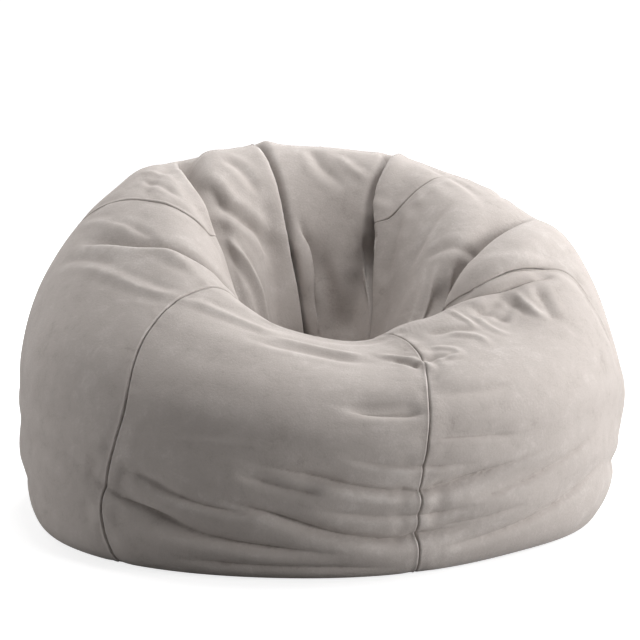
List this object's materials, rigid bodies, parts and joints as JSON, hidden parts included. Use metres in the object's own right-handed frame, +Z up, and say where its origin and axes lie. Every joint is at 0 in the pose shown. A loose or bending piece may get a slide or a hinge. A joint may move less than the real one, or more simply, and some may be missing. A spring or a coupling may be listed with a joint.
{
  "type": "bean bag chair",
  "caption": "Large round bean bag chair with a high back, thick arms, a low front lip and a sunken seat; pile cover over a zipped liner of beads.",
  "frame": {"origin": "centre of the bag's width and depth, on the floor under the base panel", "axes": "+Z up; -Y towards the low front lip, where the sitter's legs go; +X towards the arm at the right of someone facing the chair's front"},
  "size_m": [1.0398, 0.9998, 0.5952],
  "materials": {
    "cover_pile": "short suede-like pile, matt",
    "liner_cloth": "plain woven cotton",
    "zip_tape": "woven tape",
    "zip_coil": "nylon coil",
    "zip_metal": "satin nickel",
    "beads": "expanded polystyrene beads"
  },
  "bodies": {
    "bag": {"gore_front": "cover_pile", "liner_gore_front": "liner_cloth", "gore_front_right": "cover_pile", "liner_gore_front_right": "liner_cloth", "gore_back_right": "cover_pile", "liner_gore_back_right": "liner_cloth", "gore_back": "cover_pile", "liner_gore_back": "liner_cloth", "gore_back_left": "cover_pile", "liner_gore_back_left": "liner_cloth", "gore_front_left": "cover_pile", "liner_gore_front_left": "liner_cloth", "top_cap": "cover_pile", "base_panel_front": "cover_pile", "base_panel_back": "cover_pile", "zip_placket_front": "cover_pile", "zip_placket_back": "cover_pile", "zip_end_tabs": "cover_pile", "liner_cap": "liner_cloth", "liner_base_left": "liner_cloth", "liner_base_right": "liner_cloth", "zip_tape_front": "zip_tape", "zip_tape_back": "zip_tape", "liner_zip_tape_left": "zip_tape", "liner_zip_tape_right": "zip_tape", "zip_teeth_front": "zip_coil", "zip_teeth_back": "zip_coil", "liner_zip_teeth_left": "zip_coil", "liner_zip_teeth_right": "zip_coil", "zip_stops": "zip_metal", "bean_fill": "beads"},
    "cover_slider": {"zip_slider": "zip_metal"},
    "cover_pull": {"zip_pull": "zip_metal"},
    "liner_slider": {"liner_zip_slider": "zip_metal"}
  },
  "joints": [
    {"name": "zip_slide", "type": "slide", "parent": "bag", "child": "cover_slider", "axis": [-1, 0, 0], "range_m": [0, 0.744]},
    {"name": "pull_hinge", "type": "hinge", "parent": "cover_slider", "child": "cover_pull", "pos_m": [0.372, 0, 0.0053], "axis": [0, -1, 0], "range_deg": [0, 180]},
    {"name": "liner_zip_slide", "type": "slide", "parent": "bag", "child": "liner_slider", "axis": [0, -1, 0], "range_m": [0, 0.544]}
  ]
}
